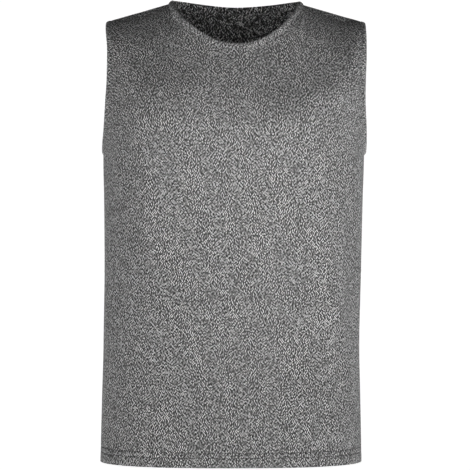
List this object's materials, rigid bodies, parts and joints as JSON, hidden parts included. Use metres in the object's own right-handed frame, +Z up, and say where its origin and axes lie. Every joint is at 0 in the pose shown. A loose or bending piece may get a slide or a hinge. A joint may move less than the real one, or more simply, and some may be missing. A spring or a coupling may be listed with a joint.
{
  "type": "sleeveless knitted stab-protection undervest",
  "caption": "Sleeveless crew-neck vest of thick marl-grey knit, hollow and filled out as on a wearer, with bound neck and armholes and a turned-up hem.",
  "frame": {"origin": "between the two side-neck points, level with the top of the neckband there, where the wearer's shoulders carry the vest", "axes": "+Z up, +X towards the wearer's left, -Y towards the front"},
  "size_m": [0.3982, 0.2407, 0.6902],
  "materials": {
    "knit": "thick marl-grey knit, matt and slightly hairy",
    "band_knit": "the same knit folded into a narrow binding"
  },
  "bodies": {
    "root": {"front": "knit", "back": "knit", "neckband": "band_knit", "armhole_band_left": "band_knit", "armhole_band_right": "band_knit"}
  },
  "joints": []
}
